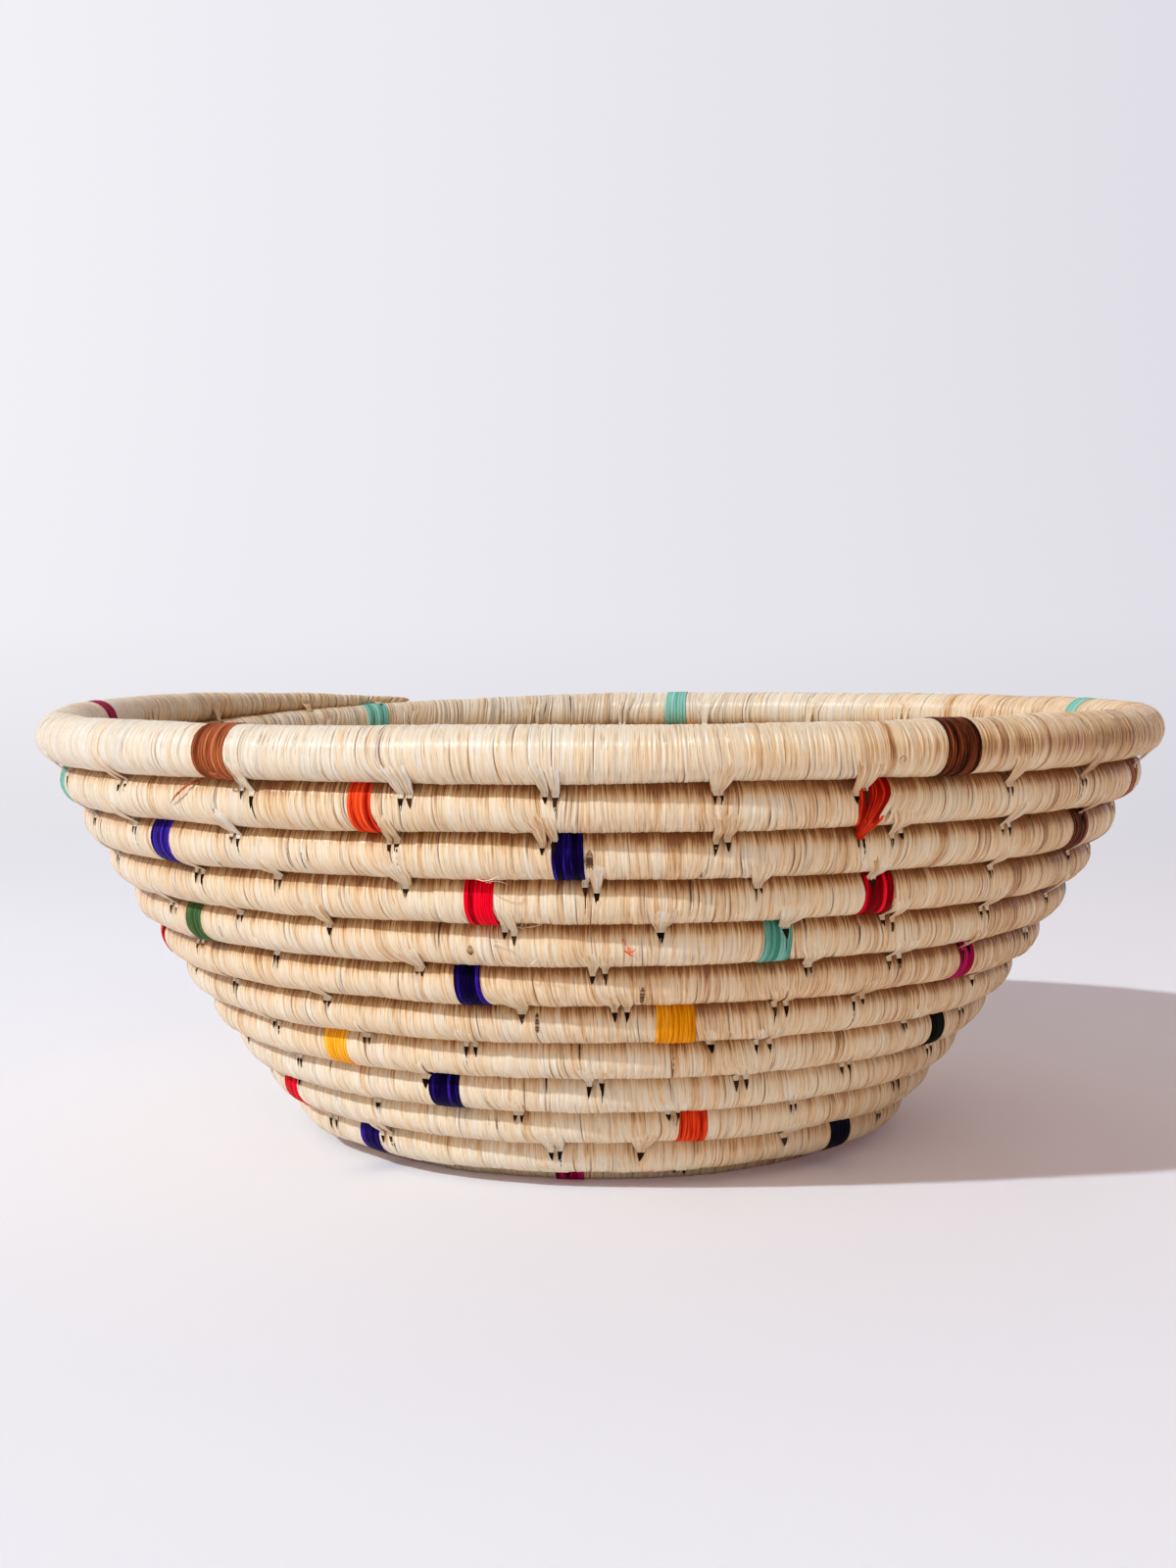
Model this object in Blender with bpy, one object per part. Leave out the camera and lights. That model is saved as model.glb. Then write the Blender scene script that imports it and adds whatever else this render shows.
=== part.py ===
"""A coiled raffia bowl: one long grass coil, wound flat for the floor and up the wall, bound all along in raffia.

Metres, +Z up. A place on the coil is counted in turns from the rim: from the tip of the tail at TAIL_END_TURN to the
middle of the floor, each whole number more is one turn further down and in. It was wound clockwise, seen from above.
"""

import math

import bmesh
import bpy
from mathutils import Vector

# The bowl's profile: the line that the middles of the coils follow from the floor to the rim.
FLOOR_RADIUS = 0.0684
KNUCKLE_RADIUS = 0.0147
KNUCKLE_EASE = 0.0006
WALL_LEAN = math.radians(50)
RIM_LEAN = math.radians(62.4)
WALL_TURNS = 11
SPIRAL_START_TURN = 16.15

# From the middle of one coil to the middle of the next.
RIM_SPACING = 0.0125
FLOOR_SPACING = 0.0117

# Each turn starts level at START_AZIMUTH, then climbs to the next at the back, and lies level for the rest of its way.
LEVEL_TURNS = 0.15
CLIMB_TURNS = 0.35
START_AZIMUTH = math.radians(26)
RIM_WAVE = 0.0012
RIM_WAVE_AZIMUTH = math.radians(-15)

# The end of the coil tapers, and lies on the turn below it.
TAIL_END_TURN = -0.75
TAPER_TURNS = 0.18
TIP_SHARE = 0.15
TAPER_POWER = 2.0

# The layers of the coil, from outside to inside, and the air between them.
COIL_GAP = 0.00055
FLOOR_CUT = 0.0006
WRAP_THICKNESS = 0.0018
DYED_THICKNESS = 0.0006
DYED_WIDTH = 0.010
CLEARANCE = 0.0003
CORE_CLEARANCE = 0.0004
END_COVER = 0.009

COIL_SIDES = 8
CORE_SIDES = 5
STATIONS_PER_TURN = 20
INNER_STATIONS_PER_TURN = 10
INNER_STATIONS_FROM = 15
INNER_FLOOR_TURN = 13
SAME_TURN = 1e-6
SHARP_ANGLE = math.radians(50)

# The natural raffia wrapping changes lengths at these turns, at the back of the bowl.
NATURAL_RUNS = (
    [("rim_wrap", TAIL_END_TURN, 0)]
    + [(f"wall_wrap_{turn + 1:02d}", turn, turn + 1) for turn in range(WALL_TURNS - 1)]
    + [("foot_wrap", WALL_TURNS - 1, WALL_TURNS)]
    + [("floor_wrap_outer", WALL_TURNS, INNER_FLOOR_TURN)]
    + [("floor_wrap_inner", INNER_FLOOR_TURN, SPIRAL_START_TURN)]
)

# Each dyed run: its colour, which turn from the rim it lies on, its azimuth in degrees, and its width as a share
# of DYED_WIDTH. The turns count from 1 at the rim, and the azimuth from +X towards +Y, on along the coil.
DYED_RUN_SHARES = (
    ("magenta", 1, -187, 0.7),
    ("brown", 1, -125, 0.97),
    ("brown", 1, -58.8, 0.95),
    ("teal", 1, 11, 0.7),
    ("teal", 1, 79, 0.8),
    ("teal", 1, 122, 0.8),
    ("indigo", 2, -195, 0.7),
    ("teal", 2, -161, 0.9),
    ("orange", 2, -111, 0.62),
    ("orange", 2, -66.2, 0.8),
    ("brown", 2, -23, 0.8),
    ("yellow", 3, -282, 0.8),
    ("orange", 3, -208, 0.8),
    ("indigo", 3, -138, 0.8),
    ("indigo", 3, -93.2, 0.62),
    ("brown", 3, -33.5, 0.9),
    ("brown", 4, -250, 0.8),
    ("red", 4, -101.6, 0.62),
    ("red", 4, -62.3, 0.8),
    ("indigo", 5, -300, 0.75),
    ("red", 5, -218, 0.8),
    ("green", 5, -141, 0.75),
    ("teal", 5, -72.1, 0.73),
    ("teal", 5, -14, 0.9),
    ("green", 6, -262, 0.8),
    ("red", 6, -164, 0.9),
    ("indigo", 6, -104.4, 0.63),
    ("magenta", 6, -42.7, 0.7),
    ("teal", 7, -205, 0.8),
    ("yellow", 7, -81.4, 0.87),
    ("indigo", 8, -248, 0.8),
    ("yellow", 8, -126.8, 0.74),
    ("black", 8, -37.5, 0.65),
    ("orange", 9, -288, 0.75),
    ("indigo", 9, -112.3, 0.79),
    ("teal", 10, -232, 0.8),
    ("red", 10, -151.1, 0.8),
    ("orange", 10, -75.9, 0.67),
    ("magenta", 11, -275, 0.75),
    ("indigo", 11, -133.5, 0.7),
    ("navy", 11, -43.5, 0.78),
    ("magenta", 12, -96, 0.68),
    ("red", 13, -230, 0.8),
    ("yellow", 14, -100, 0.8),
    ("indigo", 15, -200, 0.7),
)

COLOURS = {
    "grass": (0.30, 0.20, 0.10, 1.0),
    "natural": (0.80, 0.68, 0.48, 1.0),
    "brown": (0.11, 0.045, 0.020, 1.0),
    "teal": (0.02, 0.20, 0.19, 1.0),
    "orange": (0.55, 0.10, 0.025, 1.0),
    "red": (0.32, 0.022, 0.022, 1.0),
    "indigo": (0.045, 0.04, 0.15, 1.0),
    "navy": (0.012, 0.016, 0.06, 1.0),
    "green": (0.06, 0.20, 0.04, 1.0),
    "magenta": (0.42, 0.035, 0.17, 1.0),
    "yellow": (0.75, 0.42, 0.03, 1.0),
    "black": (0.012, 0.011, 0.012, 1.0),
}
RAFFIA_ROUGHNESS = 0.55
GRASS_ROUGHNESS = 0.85


def smooth_step(share):
    share = min(max(share, 0.0), 1.0)
    return share * share * (3 - 2 * share)


def level_at(turn):
    """How many coils below the rim the coil is, at this turn. It is negative on the tail, which climbs on."""
    part = turn - math.floor(turn)
    return math.floor(turn) + smooth_step((part - LEVEL_TURNS) / CLIMB_TURNS)


def azimuth_at(turn):
    return START_AZIMUTH + math.tau * turn


def spacing_at(level):
    down = min(max(level / WALL_TURNS, 0.0), 1.0)
    return RIM_SPACING + (FLOOR_SPACING - RIM_SPACING) * down


def profile_length(level):
    """The way along the profile from the floor's outermost coil up to a level, a little eased over the knuckle."""
    up = WALL_TURNS - level
    return up * (spacing_at(level) + FLOOR_SPACING) / 2 + KNUCKLE_EASE * min(up, 1)


def profile_at(level):
    """Radius, and height above the middles of the floor's coils, at a level."""
    if level >= WALL_TURNS:
        return FLOOR_RADIUS - (level - WALL_TURNS) * FLOOR_SPACING, 0.0
    along = profile_length(level)
    knuckle = KNUCKLE_RADIUS * WALL_LEAN
    if along <= knuckle:
        lean = along / KNUCKLE_RADIUS
        return FLOOR_RADIUS + KNUCKLE_RADIUS * math.sin(lean), KNUCKLE_RADIUS * (1 - math.cos(lean))
    wall_radius = (profile_length(0) - knuckle) / (RIM_LEAN - WALL_LEAN)
    lean = WALL_LEAN + (along - knuckle) / wall_radius
    radius = FLOOR_RADIUS + KNUCKLE_RADIUS * math.sin(WALL_LEAN)
    height = KNUCKLE_RADIUS * (1 - math.cos(WALL_LEAN))
    return (
        radius + wall_radius * (math.sin(lean) - math.sin(WALL_LEAN)),
        height + wall_radius * (math.cos(WALL_LEAN) - math.cos(lean)),
    )


def section_lean(level):
    """The direction from the coil below to the coil above, which the flats of the section face."""
    below, above = profile_at(level + 1), profile_at(level - 1)
    return math.atan2(above[1] - below[1], above[0] - below[0])


def taper_at(turn):
    """The coil's thickness as a share of the full one: 1 all along, less on the tail."""
    along = (TAIL_END_TURN + TAPER_TURNS - turn) / TAPER_TURNS
    return 1 - (1 - TIP_SHARE) * max(along, 0.0) ** TAPER_POWER


def half_thickness_at(turn):
    return (spacing_at(level_at(turn)) - COIL_GAP) / 2 * taper_at(turn)


def wave_at(turn):
    height_share = 1 - min(max(level_at(turn) / WALL_TURNS, 0.0), 1.0)
    return RIM_WAVE * height_share * math.cos(azimuth_at(turn) - RIM_WAVE_AZIMUTH)


def middle_at(turn):
    """Radius and height of the coil's middle. The tail comes down onto the turn below as it thins."""
    radius, height = profile_at(level_at(turn))
    if turn < TAIL_END_TURN + TAPER_TURNS:
        below_radius, below_height = profile_at(level_at(turn + 1))
        apart = half_thickness_at(turn) + half_thickness_at(turn + 1) + COIL_GAP
        share = apart / math.hypot(radius - below_radius, height - below_height)
        radius = below_radius + (radius - below_radius) * share
        height = below_height + (height - below_height) * share
    floor_half = (FLOOR_SPACING - COIL_GAP) / 2
    return radius, height + floor_half - FLOOR_CUT + wave_at(turn)


def station_section(turn, sides, reach, inset):
    """The corners of the coil's section at a station, in the upright plane through the bowl's axis.

    The underside is cut flat where the bowl stands on it, and each layer keeps its thickness there.
    """
    radius, height = middle_at(turn)
    lean = section_lean(level_at(turn))
    azimuth = azimuth_at(turn)
    corners = []
    for side in range(sides):
        angle = lean + math.tau * (side + 0.5) / sides
        out = radius + reach * math.cos(angle)
        up = max(height + reach * math.sin(angle), inset)
        corners.append(Vector((out * math.cos(azimuth), out * math.sin(azimuth), up)))
    return corners


def coil_reach(turn, inset):
    """From the coil's middle to a corner of its outer section, which is flat towards its neighbours."""
    return (half_thickness_at(turn) - inset * taper_at(turn)) / math.cos(math.pi / COIL_SIDES)


def core_reach(turn, inset):
    return half_thickness_at(turn) - (WRAP_THICKNESS + inset) * taper_at(turn)


def station_step(turn):
    return 1 / (STATIONS_PER_TURN if turn < INNER_STATIONS_FROM else INNER_STATIONS_PER_TURN)


def section(turn, sides, reach_at, inset):
    """The section at any turn, on the straight run between its two stations, so that all layers bend alike."""
    step = station_step(turn)
    before = math.floor(turn / step + SAME_TURN) * step
    share = (turn - before) / step
    first = station_section(before, sides, reach_at(before, inset), inset)
    if share < SAME_TURN:
        return first
    after = before + step
    second = station_section(after, sides, reach_at(after, inset), inset)
    return [a.lerp(b, share) for a, b in zip(first, second)]


def turns_between(start, end):
    """The start, the stations that lie between, and the end."""
    found = [start]
    while True:
        step = station_step(found[-1])
        following = (math.floor(found[-1] / step + SAME_TURN) + 1) * step
        if following > end - SAME_TURN:
            return found + [end]
        found.append(following)


def in_turns(length, turn):
    """A length along the coil, in turns."""
    return length / (math.tau * middle_at(turn)[0])


def add_tube(mesh, rings):
    """Quads between one ring of corners and the next. It returns the first and last rings' vertices."""
    loops = [[mesh.verts.new(corner) for corner in ring] for ring in rings]
    for first, second in zip(loops, loops[1:]):
        for side in range(len(first)):
            beyond = (side + 1) % len(first)
            mesh.faces.new((first[side], first[beyond], second[beyond], second[side]))
    return loops[0], loops[-1]


def add_ring_cap(mesh, outer, inner):
    """The flat ring between an outer loop and an inner one, which may have fewer corners."""
    here = there = 0
    while here < len(outer) or there < len(inner):
        outer_next = (here + 1) / len(outer)
        inner_next = (there + 1) / len(inner)
        outer_corner = outer[here % len(outer)]
        inner_corner = inner[there % len(inner)]
        if outer_next <= inner_next:
            here += 1
            mesh.faces.new((outer_corner, outer[here % len(outer)], inner_corner))
        else:
            there += 1
            mesh.faces.new((outer_corner, inner[there % len(inner)], inner_corner))


def finish_object(name, mesh, material):
    bmesh.ops.recalc_face_normals(mesh, faces=mesh.faces)
    data = bpy.data.meshes.new(name)
    mesh.to_mesh(data)
    mesh.free()
    data.shade_smooth()
    data.set_sharp_from_angle(angle=SHARP_ANGLE)
    data.materials.append(material)
    made = bpy.data.objects.new(name, data)
    bpy.context.scene.collection.objects.link(made)
    return made


def make_core(material):
    """The foundation: one unbroken bundle of grass from the middle of the floor to just inside the tail."""
    start = TAIL_END_TURN + in_turns(END_COVER, TAIL_END_TURN) + in_turns(CLEARANCE, TAIL_END_TURN)
    end = SPIRAL_START_TURN - in_turns(END_COVER, SPIRAL_START_TURN) / 2
    mesh = bmesh.new()
    rings = [section(turn, CORE_SIDES, core_reach, CORE_CLEARANCE) for turn in turns_between(start, end)]
    ends = add_tube(mesh, rings)
    for loop in ends:
        mesh.faces.new(loop)
    return finish_object("foundation_coil", mesh, material)


def dyed_runs():
    """Each dyed run as its colour and the turns where it starts and ends."""
    found = []
    for colour, turn_number, azimuth, width_share in DYED_RUN_SHARES:
        middle = (math.radians(azimuth) - START_AZIMUTH) / math.tau + turn_number - 1
        half = in_turns(DYED_WIDTH * width_share, middle) / 2
        found.append((colour, middle - half, middle + half))
    return found


def make_natural_run(name, start, end, dyed, material):
    """A sleeve of natural wrapping over the core, thinner where a dyed run lies on it."""
    mesh = bmesh.new()
    closed_start = start == TAIL_END_TURN
    closed_end = end == SPIRAL_START_TURN
    first = start if closed_start else start + in_turns(CLEARANCE, start) / 2
    last = end if closed_end else end - in_turns(CLEARANCE, end) / 2
    rings = []
    here = first
    for _, dyed_start, dyed_end in sorted(dyed, key=lambda run: run[1]):
        if not first < dyed_start < last:
            continue
        seat_start = dyed_start - in_turns(CLEARANCE, dyed_start)
        seat_end = dyed_end + in_turns(CLEARANCE, dyed_end)
        seat_depth = DYED_THICKNESS + CLEARANCE
        rings += [(turn, 0.0) for turn in turns_between(here, seat_start)]
        rings += [(turn, seat_depth) for turn in turns_between(seat_start, seat_end)]
        here = seat_end
    rings += [(turn, 0.0) for turn in turns_between(here, last)]
    outer_rings = [section(turn, COIL_SIDES, coil_reach, depth) for turn, depth in rings]
    outer_first, outer_last = add_tube(mesh, outer_rings)
    bore_start = first + in_turns(END_COVER, first) if closed_start else first
    bore_end = last - in_turns(END_COVER, last) / 2 + in_turns(CLEARANCE, last) if closed_end else last
    bore_turns = turns_between(bore_start, bore_end)
    bore_first, bore_last = add_tube(mesh, [section(turn, CORE_SIDES, core_reach, 0.0) for turn in bore_turns])
    for closed, outer, bore in ((closed_start, outer_first, bore_first), (closed_end, outer_last, bore_last)):
        if closed:
            mesh.faces.new(outer)
            mesh.faces.new(bore)
        else:
            add_ring_cap(mesh, outer, bore)
    return finish_object(name, mesh, material)


def make_dyed_run(name, start, end, material):
    """A short sleeve of dyed raffia in its seat on the natural wrapping."""
    mesh = bmesh.new()
    turns = turns_between(start, end)
    outer = add_tube(mesh, [section(turn, COIL_SIDES, coil_reach, 0.0) for turn in turns])
    inner = add_tube(mesh, [section(turn, COIL_SIDES, coil_reach, DYED_THICKNESS) for turn in turns])
    for outer_loop, inner_loop in zip(outer, inner):
        add_ring_cap(mesh, outer_loop, inner_loop)
    return finish_object(name, mesh, material)


def make_material(name, colour, roughness):
    material = bpy.data.materials.new(name)
    material.use_nodes = True
    shader = material.node_tree.nodes["Principled BSDF"]
    shader.inputs["Base Color"].default_value = colour
    shader.inputs["Roughness"].default_value = roughness
    shader.inputs["Metallic"].default_value = 0.0
    material.diffuse_color = colour
    return material


def least_gap():
    """The least air between one turn of the wrapped coil and the next, measured station by station."""
    least = FLOOR_RADIUS
    turn = TAIL_END_TURN
    while turn + 1 < SPIRAL_START_TURN:
        here = middle_at(turn)
        below = middle_at(turn + 1)
        apart = math.hypot(here[0] - below[0], here[1] - below[1])
        least = min(least, apart - half_thickness_at(turn) - half_thickness_at(turn + 1))
        turn += 1 / STATIONS_PER_TURN
    return least


def centre_on_box(objects):
    """Moves the bowl sideways so that the middle of its box is on the origin."""
    corners = [vertex.co for made in objects for vertex in made.data.vertices]
    shift = [-(max(c[axis] for c in corners) + min(c[axis] for c in corners)) / 2 for axis in (0, 1)]
    for made in objects:
        made.location = (shift[0], shift[1], 0.0)
    print("The coil's axis is at", [round(value, 5) for value in shift])


def main():
    for old in list(bpy.data.objects):
        bpy.data.objects.remove(old)
    materials = {}
    for colour, value in COLOURS.items():
        roughness = GRASS_ROUGHNESS if colour == "grass" else RAFFIA_ROUGHNESS
        materials[colour] = make_material(f"raffia_{colour}" if colour != "grass" else "grass", value, roughness)
    dyed = dyed_runs()
    made = [make_core(materials["grass"])]
    for name, start, end in NATURAL_RUNS:
        made.append(make_natural_run(name, start, end, dyed, materials["natural"]))
    for number, (colour, start, end) in enumerate(dyed, 1):
        made.append(make_dyed_run(f"dyed_run_{number:02d}_{colour}", start, end, materials[colour]))
    centre_on_box(made)
    print("The least gap between turns is", round(least_gap(), 5))


main()
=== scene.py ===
"""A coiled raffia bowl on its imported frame, in metres, +Z up.

The coil's path repeats the CAD source. A place on it is counted in turns down from the rim: 0 is where the
last turn has climbed to rim height, and each whole number more is one turn further down and in.
"""

import math

import bpy
import numpy as np
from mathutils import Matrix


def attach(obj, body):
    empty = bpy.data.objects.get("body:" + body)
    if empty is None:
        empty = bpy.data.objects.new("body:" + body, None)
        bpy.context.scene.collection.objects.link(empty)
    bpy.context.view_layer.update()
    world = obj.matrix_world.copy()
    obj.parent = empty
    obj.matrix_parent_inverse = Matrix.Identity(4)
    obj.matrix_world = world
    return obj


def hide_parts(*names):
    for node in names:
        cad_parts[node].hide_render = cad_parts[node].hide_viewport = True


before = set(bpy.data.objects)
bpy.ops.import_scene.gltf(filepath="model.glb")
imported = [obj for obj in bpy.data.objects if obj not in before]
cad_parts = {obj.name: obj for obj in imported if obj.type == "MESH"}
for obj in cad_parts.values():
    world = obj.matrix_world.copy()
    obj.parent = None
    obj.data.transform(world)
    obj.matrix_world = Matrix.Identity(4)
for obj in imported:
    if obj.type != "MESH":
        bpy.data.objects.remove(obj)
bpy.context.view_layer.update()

MM = 0.001

# The coil's path, as in the CAD source.
AXIS = np.array((0.00015, 0.00016, 0.0))
FLOOR_RADIUS = 0.0684
KNUCKLE_RADIUS = 0.0147
KNUCKLE_EASE = 0.0006
WALL_LEAN = math.radians(50)
RIM_LEAN = math.radians(62.4)
WALL_TURNS = 11
SPIRAL_START = 16.15
RIM_SPACING = 0.0125
FLOOR_SPACING = 0.0117
LEVEL_TURNS = 0.15
CLIMB_TURNS = 0.35
START_AZIMUTH = math.radians(26)
RIM_WAVE = 0.0012
RIM_WAVE_AZIMUTH = math.radians(-15)
TAIL_END = -0.75
TAPER_TURNS = 0.18
TIP_SHARE = 0.15
TAPER_POWER = 2.0
COIL_GAP = 0.00055
FLOOR_CUT = 0.0006
WRAP_THICKNESS = 0.0018
DYED_WIDTH = 0.010
INNER_FLOOR_TURN = 13
PATH_STEP = 1 / 1440

NATURAL_RUNS = (
    [("rim_wrap", TAIL_END, 0)]
    + [(f"wall_wrap_{turn + 1:02d}", turn, turn + 1) for turn in range(WALL_TURNS - 1)]
    + [("foot_wrap", WALL_TURNS - 1, WALL_TURNS)]
    + [("floor_wrap_outer", WALL_TURNS, INNER_FLOOR_TURN)]
    + [("floor_wrap_inner", INNER_FLOOR_TURN, SPIRAL_START)]
)

# Colour, turn number from the rim, azimuth in degrees, and width as a share of DYED_WIDTH.
DYED_RUN_SHARES = (
    ("magenta", 1, -187, 0.7), ("brown", 1, -125, 0.97), ("brown", 1, -58.8, 0.95), ("teal", 1, 11, 0.7),
    ("teal", 1, 79, 0.8), ("teal", 1, 122, 0.8), ("indigo", 2, -195, 0.7), ("teal", 2, -161, 0.9),
    ("orange", 2, -111, 0.62), ("orange", 2, -66.2, 0.8), ("brown", 2, -23, 0.8), ("yellow", 3, -282, 0.8),
    ("orange", 3, -208, 0.8), ("indigo", 3, -138, 0.8), ("indigo", 3, -93.2, 0.62), ("brown", 3, -33.5, 0.9),
    ("brown", 4, -250, 0.8), ("red", 4, -101.6, 0.62), ("red", 4, -62.3, 0.8), ("indigo", 5, -300, 0.75),
    ("red", 5, -218, 0.8), ("green", 5, -141, 0.75), ("teal", 5, -72.1, 0.73), ("teal", 5, -14, 0.9),
    ("green", 6, -262, 0.8), ("red", 6, -164, 0.9), ("indigo", 6, -104.4, 0.63), ("magenta", 6, -42.7, 0.7),
    ("teal", 7, -205, 0.8), ("yellow", 7, -81.4, 0.87), ("indigo", 8, -248, 0.8), ("yellow", 8, -126.8, 0.74),
    ("black", 8, -37.5, 0.65), ("orange", 9, -288, 0.75), ("indigo", 9, -112.3, 0.79), ("teal", 10, -232, 0.8),
    ("red", 10, -151.1, 0.8), ("orange", 10, -75.9, 0.67), ("magenta", 11, -275, 0.75),
    ("indigo", 11, -133.5, 0.7), ("navy", 11, -43.5, 0.78), ("magenta", 12, -96, 0.68),
    ("red", 13, -230, 0.8), ("yellow", 14, -100, 0.8), ("indigo", 15, -200, 0.7),
)

# Runs drawn darker or paler than the middle tone, by their number.
MIDDLE_TONE = 0.5
RUN_TONES = {
    2: 0.60, 3: 0.08, 4: 0.80, 5: 0.80, 6: 0.70, 10: 0.06,
    14: 0.85, 16: 0.12, 19: -0.12, 23: 0.28, 27: 0.45, 32: 0.65,
}

# One orange run is drawn to a point by its stitch. Beside one indigo run the strands have parted.
POINTED_RUN = 10
POINTED_REACH = 0.018
PARTED_RUN = 15

# Where stitches tie a coil to the one below, in degrees, as far as they can be seen: by turn from the rim.
SEEN_STITCHES = {
    1: (-158.2, -141.5, -123.1, -107.5, -94.8, -80.5, -68.0, -51.6, -39.1),
    2: (-144.0, -126.7, -109.7, -95.6, -79.9, -66.5, -63.2, -48.5),
    3: (-158.4, -135.8, -123.9, -109.4, -91.3, -75.6, -63.9, -47.6),
    4: (-132.9, -119.6, -100.0, -84.2, -59.6),
}
FIRST_STITCH = 0.012
STITCH_SPACING = 0.036
STITCH_DRIFT = 0.0010

# The section of the wrapped coil, in rows of points round it. The radius is a mean one, for lengths round it.
ROWS = 28
ROW_ANGLES = np.arange(ROWS) * math.tau / ROWS
OUTER_ROW = 7
INNER_ROW = 21
SECTION_RADIUS = 0.0062
PRESS = 0.00005
BULGE = 0.01

# The underside is flat. What stands this far off the surface lies at this height there, and the rest above.
GROUND_HEIGHT = 0.00002
GROUND_LIFT = 0.0003

# Ribbons of raffia, side by side along the coil.
RIBBON_COUNT = 12000
RIBBON_WIDTH = 0.00100
RIBBON_SPREAD = 0.60
RIBBON_LIMITS = (0.0005, 0.0040)
RIBBON_TONE = 0.56
DARK_RIBBONS = 0.07
EDGE_STEP = 0.00012
COLUMN_STEP = 0.00042
LINE_SHADES = (0.06, 0.24, 0.66)
LINE_ODDS = (0.48, 0.34, 0.18)
DYED_SUNK = 0.0005
DYED_PROUD = 0.00018
SLITS = 620

# Paler at the rim's left front, where the key light falls; darker at the right and the back left.
# Painted light and shade, by azimuth: tone, azimuth in degrees, width in radians, and if rim only.
PAINTED_LIGHT_AND_SHADE = (
    (0.06, -145, 1.0, True),
    (-0.26, -18, 0.95, False),
    (-0.06, -50, 0.40, True),
    (-0.12, 142, 0.60, True),
)

# A stitch's tongue: width and tip's width in millimetres, and strands. Some stitches have a pair of them.
TONGUE_ALONE = (6.8, 2.1, 5)
TONGUE_IN_PAIR = (3.7, 1.4, 3)
PAIRED = 0.55
PAIR_OFFSET = 0.0018
INSIDE_SIZE = 0.6

# Where a tongue lies on the upper coil: angles, lifts, and widths as shares of its width there.
UPPER_ANGLES = np.radians((72, 82, 91, 99, 106, 112, 118))
UPPER_LIFTS = np.array((-0.40, -0.12, 0.08, 0.18, 0.23, 0.26, 0.28)) * MM
UPPER_WIDTHS = (1.0, 0.99, 0.97, 0.94, 0.90, 0.86, 0.81)
BRIDGE_SHARES = (0.2, 0.4, 0.6, 0.8)
BRIDGE_RISE = 0.00030
# Directions above level on the coil below, from where the tongue reaches it to where it goes in.
LOWER_DIRECTIONS = np.radians((27, 21, 17, 15))
LOWER_LIFTS = np.array((0.32, 0.27, 0.18, -1.0)) * MM

# Where bare grass shows: turn, angles round the section in degrees, and width in millimetres.
BARE_GRASS = (
    (1.6744, 52, 108, 1.5),
    (2.6746, 24, 36, 1.3),
    (3.6406, 66, 88, 1.3),
    (4.6896, 66, 112, 0.9),
    (5.6569, 36, 82, 0.8),
)
BAND_WIDTH = 0.00035

# Loose fibres: turn, angle in degrees, length, heading and curl in degrees, width. Lengths in millimetres.
LOOSE_FIBRES = {
    "natural": (
        (1.6458, 118, 6.0, 20, 15, 0.24), (2.6470, 26, 5.0, 5, -30, 0.22), (2.6480, 27, 4.5, 30, 60, 0.20),
        (3.6549, 28, 5.0, 60, 140, 0.20), (3.6555, 27, 8.0, -6, 24, 0.20), (3.6560, 31, 3.6, 160, 90, 0.20),
        (3.6470, 62, 6.0, 25, -70, 0.20), (3.6542, 112, 3.2, 150, 20, 0.26), (3.6560, 118, 3.0, 100, 30, 0.24),
        (3.6570, 110, 3.4, 70, -50, 0.22),
    ),
    "brown": (
        (-0.4167, 104, 3.0, 190, -30, 0.55), (0.5710, 22, 11.0, 212, -16, 0.60),
        (-0.2528, 84, 4.6, 60, 330, 0.16), (0.8528, 70, 5.0, -20, 200, 0.12),
    ),
    "orange": (
        (3.6831, 50, 1.8, 300, 20, 0.26), (3.6838, 74, 2.4, 320, 15, 0.30),
        (3.6846, 66, 2.0, 285, -20, 0.24), (3.6842, 76, 2.2, 350, 10, 0.22),
    ),
}
FIBRE_STEPS = 14
FIBRE_SIDES = 6

# The bound start of the coil, in the middle of the floor: a profile from its top round to its underside.
CENTRE = (-0.0034, 0.0014)
CENTRE_COLUMNS = 150
CENTRE_RADII = np.array((3e-4, 0.8, 1.7, 2.8, 4.2, 5.8, 7.2, 8.8, 11, 14.2, 12.4, 9.2, 5.6, 1.6, 3e-4)) * MM
CENTRE_HEIGHTS = np.array((7.6, 8.3, 9.3, 10.1, 10.5, 10.2, 9.2, 7.8, 6.6, 5.4, 3.4, 1.8, 0.9, 1.4, 1.6)) * MM

# The grass bundle under the weave.
GRASS_STEP = 0.003
GRASS_ROWS = 18

# On the bake map, the sleeve round the coil has one place, and small patches lie in cells above it.
SLEEVE_PLACE = (0.0, 0.0, 1.0, 0.90)
CELLS_LOW = 0.91
ROW_MARGIN = 0.02
COLUMN_MARGIN = 0.002

NATURAL_STOPS = (
    (0.0, (0.25, 0.085, 0.022)),
    (0.22, (0.58, 0.335, 0.14)),
    (0.46, (0.765, 0.57, 0.36)),
    (0.62, (0.755, 0.64, 0.465)),
    (0.78, (0.75, 0.69, 0.575)),
    (1.0, (0.79, 0.755, 0.68)),
)
LINE_COLOUR = (0.22, 0.085, 0.030)
# Near black where the shade attribute is deepest: the dark grass in gaps, with painted shade.
GAP_SHADE_COLOUR = (0.022, 0.011, 0.006)
GRASS_STOPS = ((0.0, (0.10, 0.05, 0.02)), (0.5, (0.26, 0.15, 0.07)), (1.0, (0.48, 0.33, 0.18)))
GRASS_LINE = (0.08, 0.04, 0.018)
# Near black, for the grass deep in gaps: painted shade.
SHADOW_STOPS = ((0.0, (0.006, 0.004, 0.002)), (0.6, (0.022, 0.012, 0.007)), (1.0, (0.07, 0.035, 0.018)))
SHADOW_LINE = (0.02, 0.01, 0.005)
SHADOW_GAP = (0.004, 0.003, 0.002)

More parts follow.
